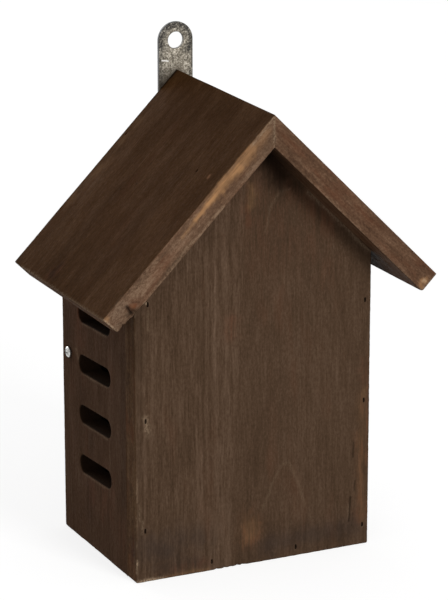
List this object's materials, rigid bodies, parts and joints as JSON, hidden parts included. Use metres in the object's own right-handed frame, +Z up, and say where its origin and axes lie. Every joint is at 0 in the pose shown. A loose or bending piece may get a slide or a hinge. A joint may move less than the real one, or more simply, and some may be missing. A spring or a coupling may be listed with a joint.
{
  "type": "ladybug house",
  "caption": "Wooden ladybug house with a pitched roof, entrance slots in its side walls, a swing-open back door and a steel hanger plate.",
  "frame": {"origin": "middle of the base's underside, below the ridge and midway from the front face to the back", "axes": "+Z up, front towards -Y, hanger plate and door towards +Y, +X to the right seen from the front"},
  "size_m": [0.1676, 0.1055, 0.2416],
  "materials": {
    "stained_wood": "dark brown stain, matt",
    "galvanised_steel": "galvanised, mottled",
    "zinc_screw": "zinc plated",
    "brad_steel": "dull"
  },
  "bodies": {
    "house": {"front_panel": "stained_wood", "left_wall": "stained_wood", "right_wall": "stained_wood", "floor_board": "stained_wood", "back_panel": "stained_wood", "left_roof_board": "stained_wood", "right_roof_board": "stained_wood", "hanger_plate": "galvanised_steel", "hanger_screws": "zinc_screw", "left_front_brads": "brad_steel", "right_front_brads": "brad_steel", "floor_brads": "brad_steel", "left_roof_brads": "brad_steel", "right_roof_brads": "brad_steel", "left_back_brad": "brad_steel", "right_back_brad": "brad_steel"},
    "door": {"back_door": "stained_wood", "left_pivot_screw": "zinc_screw", "right_pivot_screw": "zinc_screw"}
  },
  "joints": [
    {"name": "door_swing", "type": "hinge", "parent": "house", "child": "door", "pos_m": [0, 0.03415, 0.09], "axis": [1, 0, 0], "range_deg": [0, 115]}
  ]
}
